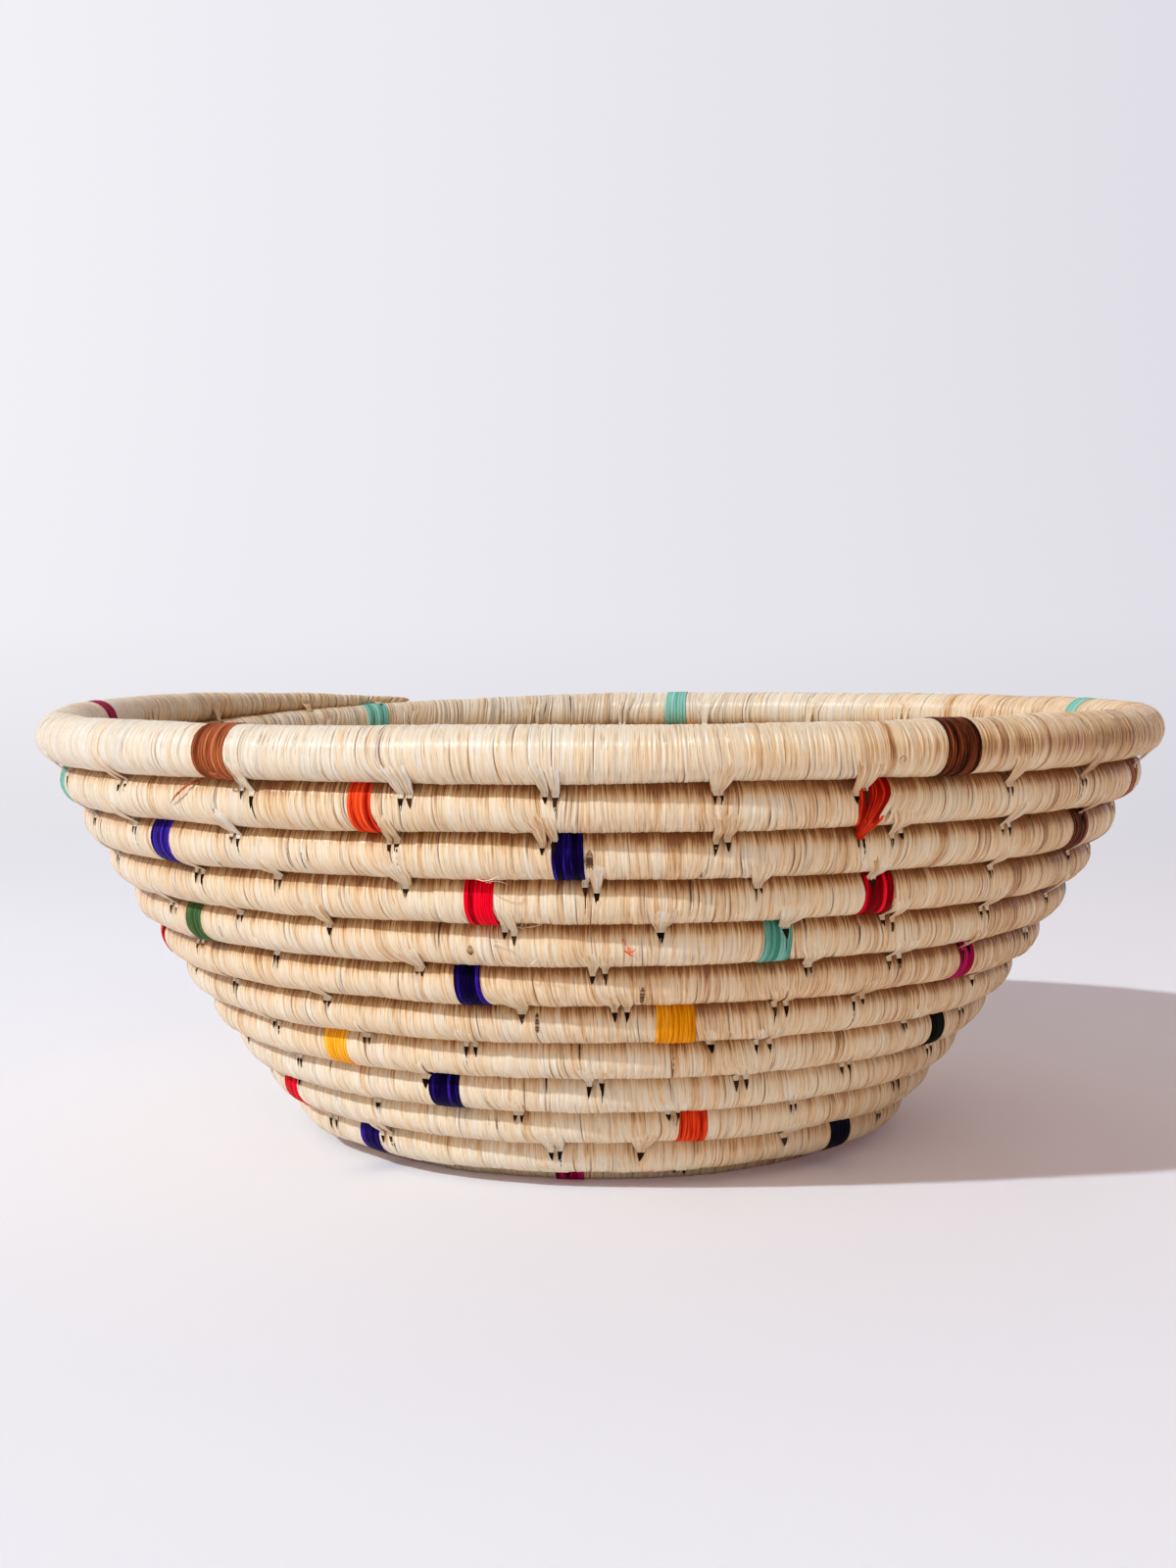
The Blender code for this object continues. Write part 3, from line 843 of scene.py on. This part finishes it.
def all_tongues(weave):
    """The tongues of each stitch, and the gaps that open in the coil below them."""
    tongues, gaps = [], []
    for start, drift, home in zip(STITCHES, DRIFTS, HOMES):
        paired = not home and random.random() < PAIRED
        widest, tip_widest, strands = TONGUE_IN_PAIR if paired else TONGUE_ALONE
        # Outside tongues are painted a little paler, as painted light; inside ones a little darker.
        for side, size, row, paler in ((1, 1.0, OUTER_ROW, 0.03), (-1, INSIDE_SIZE, INNER_ROW, -0.07)):
            for offset in (-PAIR_OFFSET, PAIR_OFFSET) if paired else (0.0,):
                offset = offset + random.normal(0, 0.0002)
                width = widest * random.uniform(0.88, 1.12) * size * MM
                tip_width = tip_widest * random.uniform(0.85, 1.15) * size * MM
                tone = weave.tone_near(start, row) + random.normal(paler, 0.04)
                patch, tip, tip_angle = tongue(
                    weave, start, drift, offset, side, width, tip_width, strands, tone, bool(home)
                )
                tongues.append((float(turn_at(start + offset)), home, patch))
                split = not paired and random.random() < 0.5
                for aside in (-0.55, 0.55) if split else (0.0,):
                    wide = tip_width * (0.42 if split else random.uniform(0.75, 0.95))
                    high = random.uniform(1.7, 3.2) * (0.8 if split else 1.0) * size * MM
                    middle = tip + aside * tip_width * 0.6
                    gaps.append((middle, side * (tip_angle - 0.02), wide, high))
                    if side > 0 and random.random() < 0.4:
                        further = high + random.uniform(1.5, 4.0) * MM
                        gaps.append((middle + 0.0001, side * tip_angle, 0.30 * MM, further))
    return tongues, gaps


def bare_patch(weave, turn, low, high, width):
    """A strip where the binding has slipped: bands of grass across it, light and dark by turns."""
    middle = along_at_turn(turn)
    steps = max(int(round(math.radians(high - low) * SECTION_RADIUS / BAND_WIDTH)), 4)
    angles = np.radians(np.linspace(low, high, steps + 1))
    ends = np.clip(np.minimum(np.arange(steps + 1), steps - np.arange(steps + 1)) / 2, 0.35, 1.0)
    across = np.linspace(-0.5, 0.5, 4)
    rows = []
    for angle, share in zip(angles, ends):
        level = weave.surface(middle, angle) + 0.00014
        at = middle + across * width * MM * share * random.uniform(0.8, 1.1)
        rows.append(place(at, angle, level + np.array((0.0, -0.05, -0.05, 0.0)) * MM))
    bands = np.where(random.random(steps + 1) < 0.3, 0.02, random.uniform(0.25, 0.9, steps + 1))
    u, v = middle / MM + across * width, np.arange(steps + 1) * BAND_WIDTH / MM
    return grid_patch(np.array(rows).transpose(1, 0, 2), bands, np.where(bands < 0.1, 0.6, 0.0), u, v)


def fibre_patch(weave, turn, angle, length, heading, curl, width):
    """A loose fibre that curls on the surface and stands a little off it."""
    heading = math.radians(heading)
    where, angle = along_at_turn(turn), math.radians(angle)
    step = length * MM / FIBRE_STEPS
    places = []
    for index in range(FIBRE_STEPS + 1):
        rise = (0.25 + 0.9 * math.sin(math.pi * index / FIBRE_STEPS)) * MM * min(length / 5, 1.2)
        places.append(place(where, angle, weave.surface(where, angle) + rise))
        where += step * math.cos(heading)
        angle -= step * math.sin(heading) / SECTION_RADIUS
        heading += math.radians(curl) / FIBRE_STEPS + random.normal(0, 0.06)
    spine = np.array(places)
    ahead = np.gradient(spine, axis=0)
    ahead /= np.linalg.norm(ahead, axis=1)[:, None]
    side = np.cross(ahead, np.array((0.3, -0.8, 0.5)))
    side /= np.linalg.norm(side, axis=1)[:, None]
    over = np.cross(side, ahead)
    taper = np.clip(np.minimum(1.0, (FIBRE_STEPS + 0.4 - np.arange(FIBRE_STEPS + 1)) / 4), 0.15, 1.0)
    turns = np.arange(FIBRE_SIDES) * math.tau / FIBRE_SIDES
    ring = side[:, None] * np.cos(turns)[:, None] + 0.6 * over[:, None] * np.sin(turns)[:, None]
    points = spine[:, None] + ring * (width / 2 * MM * taper)[:, None, None]
    u, v = np.arange(FIBRE_STEPS + 1) * 0.1, turns * width / 2
    return grid_patch(points, random.uniform(0.55, 0.8), 0.0, u, v, around=math.pi * width)


def gap_patch(middle, angle, width, height, slant, lift):
    """A sliver of grass between strands, widest at its upper end: painted shade, lying at the surface."""
    steps = 5
    across = np.array((-1.0, 0.0, 1.0))
    share = np.linspace(0, 1, steps)
    half = width / 2 * (1 - share) ** 0.8 + 0.00003
    rows = []
    for index in range(steps):
        at = middle + slant * share[index] + across * half[index]
        here = angle + math.copysign(height * share[index] / SECTION_RADIUS, math.sin(angle))
        rows.append(place(at, here, lift - np.array((0.0, 0.00005, 0.0))))
    grid = np.array(rows).transpose(1, 0, 2)
    u, v = across * width / MM + middle / MM, np.linspace(0, height / MM, steps)
    return grid_patch(grid[::-1] if math.sin(angle) < 0 else grid, random.uniform(0, 1), 0.0, u, v)


def centre_patch():
    """The start of the coil, bound over by strands that run out from its middle."""
    turn = np.arange(CENTRE_COLUMNS + 1) * math.tau / CENTRE_COLUMNS
    knots = random.normal(0, 1, CENTRE_COLUMNS)
    knots[0::3] -= 1.6
    bumps = np.append(knots, knots[0]) * 0.05 * MM
    swirl = 0.5 * (1 - CENTRE_RADII / 0.009)
    rise = bumps[:, None] * np.clip(CENTRE_RADII / 0.004, 0, 1)
    out = CENTRE_RADII + 0.5 * rise
    azimuth = turn[:, None] + swirl
    x = CENTRE[0] + AXIS[0] + out * np.cos(azimuth)
    y = CENTRE[1] + AXIS[1] + out * np.sin(azimuth)
    tone = np.repeat(random.normal(0.52, 0.08, CENTRE_COLUMNS // 3), 3)
    line = np.zeros(CENTRE_COLUMNS)
    line[0::3] = random.uniform(0.1, 0.6, CENTRE_COLUMNS // 3)
    # Painted shade: darker at the very middle, and under the edge of the bound start.
    centre_painted_shade = 0.3 * np.clip(1 - CENTRE_RADII / 0.003, 0, 1) + 0.35 * np.clip((CENTRE_RADII - 0.009) / 0.004, 0, 1)
    steps = np.hypot(np.diff(CENTRE_RADII), np.diff(CENTRE_HEIGHTS))
    points = np.stack((x, y, np.maximum(CENTRE_HEIGHTS + rise, 0.0006)), axis=-1)
    tones = np.append(tone, tone[0])[:, None] - centre_painted_shade
    shades = np.append(line, line[0])[:, None] + 0.5 * centre_painted_shade
    return grid_patch(points, tones, shades, turn * 6.0, np.concatenate(((0.0,), np.cumsum(steps))) / MM)


def sleeve(along, shift, lifts, tone, shade, strips=1):
    """A patch that goes all the way round the coil."""
    points = place(along[:, None] + shift, ROW_ANGLES, lifts)
    round_mm = SECTION_RADIUS / MM
    around = {"around": math.tau * round_mm, "strips": strips, "atlas": SLEEVE_PLACE}
    return grid_patch(points, tone, shade, along / MM, ROW_ANGLES * round_mm, **around)


def make_natural(weave, tongues, material):
    """Each node's length of the natural binding, with the tongues that leave it."""
    edges = weave.along[weave.ribbon_starts]
    nearest = [np.argmin(np.abs(edges - along_at_turn(end_turn))) for _, _, end_turn in NATURAL_RUNS]
    ends = [int(weave.ribbon_starts[index]) for index in nearest]
    ends[-1] = len(weave.along) - 1
    before = 0
    for (name, start_turn, end_turn), end in zip(NATURAL_RUNS, ends):
        part = slice(before, end + 1)
        before = end
        fields = (weave.along, weave.shift, weave.lifts, weave.tones, weave.shades)
        wrap = sleeve(*(field[part] for field in fields), strips=5)
        mine = [patch for turn, home, patch in tongues if start_turn <= turn < end_turn and not home]
        made = new_mesh(name + "_raffia", [wrap] + in_cells(mine), material)
        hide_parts(name)


def make_dyed_run(weave, tongues, name, middle_tone, run_start, run_end, material):
    """A dyed run: five strands or more, side by side, with edges of their own."""
    width = run_end - run_start
    strands = max(int(round(width / (random.uniform(0.8, 1.2) * MM))), 5)
    cuts = run_start + width * (np.arange(strands + 1) + random.uniform(-0.22, 0.22, strands + 1)) / strands
    sunk_edge = (-DYED_SUNK, 0.4, 0.6)
    lines = [(cuts[0], *sunk_edge)]
    for left, right in zip(cuts, cuts[1:]):
        tone = random.normal(middle_tone, 0.23)
        groove = random.uniform(0.0, 0.10) * MM
        section = ((0.03, -groove, 0.45), (0.16, 0.0, 0.0), (0.5, 0.05 * MM, 0.0), (0.84, 0.0, 0.0))
        for share, height, dark in section:
            lift = DYED_PROUD + height + random.normal(0, 0.012) * MM
            lines.append((left + (right - left) * share, lift, tone + random.normal(0, 0.06), dark))
    lines.append((cuts[-1], *sunk_edge))
    along, lift, tone, shade = np.ascontiguousarray(np.array(lines).T)
    shift = np.stack([FOLLOW[name] * np.interp(along, weave.along, row) for row in weave.shift.T], axis=1)
    across = ((along - cuts[0]) / (cuts[-1] - cuts[0]))[:, None]
    low_share = (1 - np.cos(ROW_ANGLES)) / 2
    for share, (top, bottom) in zip((1 - across, across), random.normal(0, 0.0003, (2, 2))):
        shift += share * (top + (bottom - top) * low_share)
    lift = lift + np.interp(along, weave.along, weave.swell)
    run = sleeve(along, shift, lift[:, None], tone[:, None], shade[:, None])
    mine = [patch for _, home, patch in tongues if home == name]
    for patch in mine:
        patch["tone"] = patch["tone"] - 0.12
    made = new_mesh(name + "_raffia", [run] + in_cells(mine), material)
    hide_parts(name)


def make_grass(weave):
    """The bundle of grass that the raffia is wound round, and the places where it shows."""
    material = raffia_material("grass_bundle", GRASS_STOPS, GRASS_LINE, GAP_SHADE_COLOUR, 0.7, 0.3, 0.9)
    along = np.arange(COIL_START + 0.004, COIL_END - 0.003, GRASS_STEP)
    angles = np.arange(GRASS_ROWS) * math.tau / GRASS_ROWS
    sink = WRAP_THICKNESS * taper_at(turn_at(along))
    ridges = np.where(np.arange(GRASS_ROWS) % 2, 0.0002, -0.0002)
    points = place(along[:, None], angles, ridges - sink[:, None])
    tone = random.uniform(0.2, 0.8, GRASS_ROWS)
    u, v = along / MM * 0.05, np.arange(GRASS_ROWS) * 2.0
    bundle = grid_patch(points, tone, 0.0, u, v, around=GRASS_ROWS * 2.0, strips=12, atlas=SLEEVE_PLACE)
    bare = [bare_patch(weave, *row) for row in BARE_GRASS]
    made = new_mesh("foundation_grass", [bundle] + in_cells(bare), material)
    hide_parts("foundation_coil")


def make_gaps(weave, gaps):
    """Where strands part, the grass deep between them gets painted shade: near-black slivers at the surface.
    """
    material = raffia_material("grass_gaps_painted_shade", SHADOW_STOPS, SHADOW_LINE, SHADOW_GAP, 0.9, 0.0, 1.0)
    patches = []
    cells = math.ceil(math.sqrt(len(gaps)))
    for number, (middle, angle, width, height) in enumerate(gaps):
        level = weave.level_at_gap(middle, angle) + 0.00012
        patch = gap_patch(middle, angle, width, height, random.normal(0, 0.0002), level)
        # A gap on the flat underside would look like a blot.
        if patch["points"][..., 2].min() < 0.0004:
            continue
        x, y = number % cells, number // cells
        patch["atlas"] = (x / cells, y / cells, (x + 1) / cells, (y + 1) / cells)
        patches.append(patch)
    new_mesh("grass_gaps_painted_shade", patches, material)


def make_bowl():
    weave = Weave()
    tongues, gaps = all_tongues(weave)
    weave.part_beside_run()
    gaps += weave.cut_slits()
    weave.settle()
    materials = {
        "natural": raffia_material("natural_raffia", NATURAL_STOPS, LINE_COLOUR, GAP_SHADE_COLOUR, 0.30, 0.5, 0.95)
    }
    make_natural(weave, tongues, materials["natural"])
    for number, (name, colour, run_start, run_end) in enumerate(DYED, 1):
        if colour not in materials:
            dark = DYES[colour][0]
            stops = tuple(zip((0.0, 0.5, 1.0), DYES[colour]))
            # Near black in the deepest gaps: dark grass, with painted shade.
            gap = tuple(0.3 * channel for channel in dark)
            materials[colour] = raffia_material(colour + "_raffia", stops, dark, gap, 0.42, 0.02, 1.6)
        tone = RUN_TONES.get(number, MIDDLE_TONE)
        make_dyed_run(weave, tongues, name, tone, run_start, run_end, materials[colour])
    make_grass(weave)
    make_gaps(weave, gaps)
    for colour, rows in LOOSE_FIBRES.items():
        fibres = [fibre_patch(weave, *row) for row in rows]
        new_mesh("loose_fibres_" + colour, in_cells(fibres, 0.0), materials[colour])
    new_mesh("floor_centre_raffia", in_cells([centre_patch()], 0.0), materials["natural"])


def make_stage():
    """A pale floor that curves up into a backdrop."""
    width, near_edge, far, bend, top = 12.0, -6.0, 1.6, 0.7, 3.0
    profile = [(near_edge, 0.0), (far - bend, 0.0)]
    for step in range(1, 17):
        turn = math.pi / 2 * step / 16
        profile.append((far - bend + bend * math.sin(turn), bend - bend * math.cos(turn)))
    profile.append((far, top))
    vertices = [(x, y, z) for y, z in profile for x in (-width / 2, width / 2)]
    faces = [(2 * i, 2 * i + 1, 2 * i + 3, 2 * i + 2) for i in range(len(profile) - 1)]
    mesh = bpy.data.meshes.new("backdrop")
    mesh.from_pydata(vertices, [], faces)
    mesh.shade_smooth()
    material, tree, surface = new_material("backdrop")
    place_on = add_node(tree, "TexCoord").outputs["Object"]
    x, y, z = add_node(tree, "SeparateXYZ", {"Vector": place_on}).outputs
    seen = add_node(tree, "LightPath").outputs["Is Camera Ray"]
    # Painted light: the floor is a little paler on the lit side. Only the camera sees its full paleness.
    floor_painted_light = mix_colour(tree, ramp_up(tree, x, 1.6, 0.5), (0.86, 0.935, 0.985), (0.745, 0.775, 0.81))
    floor_painted_light = mix_colour(tree, 1.0, floor_painted_light, ramp_up(tree, y, -0.19, 0.98), "MULTIPLY")
    colour = mix_colour(tree, seen, (0.92, 0.86, 0.83), floor_painted_light)
    floor = add_node(tree, "BsdfPrincipled", {"Base Color": colour, "Roughness": 0.9})
    floor.inputs["Specular IOR Level"].default_value = 0.1
    # Painted light: a faint warm glow that only the camera sees lifts the shadow on the floor.
    lift = add_node(tree, "Emission", {"Color": (1.0, 0.48, 0.60, 1.0), "Strength": 1.0})
    floor_with_painted_glow = mix_shaders(tree, math_node(tree, "MULTIPLY", seen, 0.08), floor.outputs[0], lift.outputs[0])
    # It sees the backdrop as a pale glow, with painted shade: dimmer to the right and lower down.
    glow = mix_colour(tree, ramp_up(tree, x, 0.8, 0.5), (0.89, 0.88, 0.925), (0.745, 0.73, 0.79))
    glow = mix_colour(tree, 1.0, glow, ramp_up(tree, z, 0.6, 0.91), "MULTIPLY")
    emission = add_node(tree, "Emission", {"Color": glow, "Strength": 1.0})
    back = math_node(tree, "MULTIPLY", seen, ramp_up(tree, y, 1.65, -0.5))
    tree.links.new(mix_shaders(tree, back, floor_with_painted_glow, emission.outputs[0]), surface)
    mesh.materials.append(material)
    add_object("backdrop", mesh)


def add_lamp(name, kind, rotation, location=(0.0, 0.0, 0.0), **settings):
    data = bpy.data.lights.new(name, kind)
    for key, value in settings.items():
        setattr(data, key, value)
    lamp = add_object(name, data)
    lamp.location = location
    lamp.rotation_euler = rotation


def make_light():
    elevation, azimuth = math.radians(37), math.radians(-143)
    aim = (math.pi / 2 - elevation, 0.0, azimuth + math.pi / 2)
    add_lamp("key", "SUN", aim, energy=2.88, angle=math.radians(2), color=(0.90, 0.95, 1.0))
    aim = (math.radians(65), 0.0, math.radians(-10))
    add_lamp("fill", "AREA", aim, (-0.4, -2.2, 1.1), energy=10.0, size=1.6, color=(1.0, 0.86, 0.72))
    world = bpy.data.worlds.new("studio")
    bpy.context.scene.world = world
    world.use_nodes = True
    tree = world.node_tree
    background = tree.nodes["Background"]
    background.inputs["Color"].default_value = (1.0, 0.87, 0.85, 1.0)
    background.inputs["Strength"].default_value = 0.35
    # Beyond the floor, the camera sees a pale colour that lights nothing.
    beyond = add_node(tree, "Background", {"Color": (0.76, 0.75, 0.79, 1.0), "Strength": 1.0})
    seen = add_node(tree, "LightPath").outputs["Is Camera Ray"]
    mixed = mix_shaders(tree, seen, background.outputs[0], beyond.outputs[0])
    tree.links.new(mixed, tree.nodes["World Output"].inputs["Surface"])


def make_camera():
    data = bpy.data.cameras.new("camera")
    data.sensor_width = 36.0
    data.lens = 47.98
    data.clip_start = 0.01
    data.clip_end = 20.0
    camera = add_object("camera", data)
    camera.location = (-0.0033 + AXIS[0], -0.5873 + AXIS[1], 0.13466)
    camera.rotation_euler = (math.radians(90 - 3.92), 0.0, 0.0)
    bpy.context.scene.camera = camera


make_bowl()
make_stage()
make_light()
make_camera()
bpy.context.scene.view_settings.view_transform = "Standard"
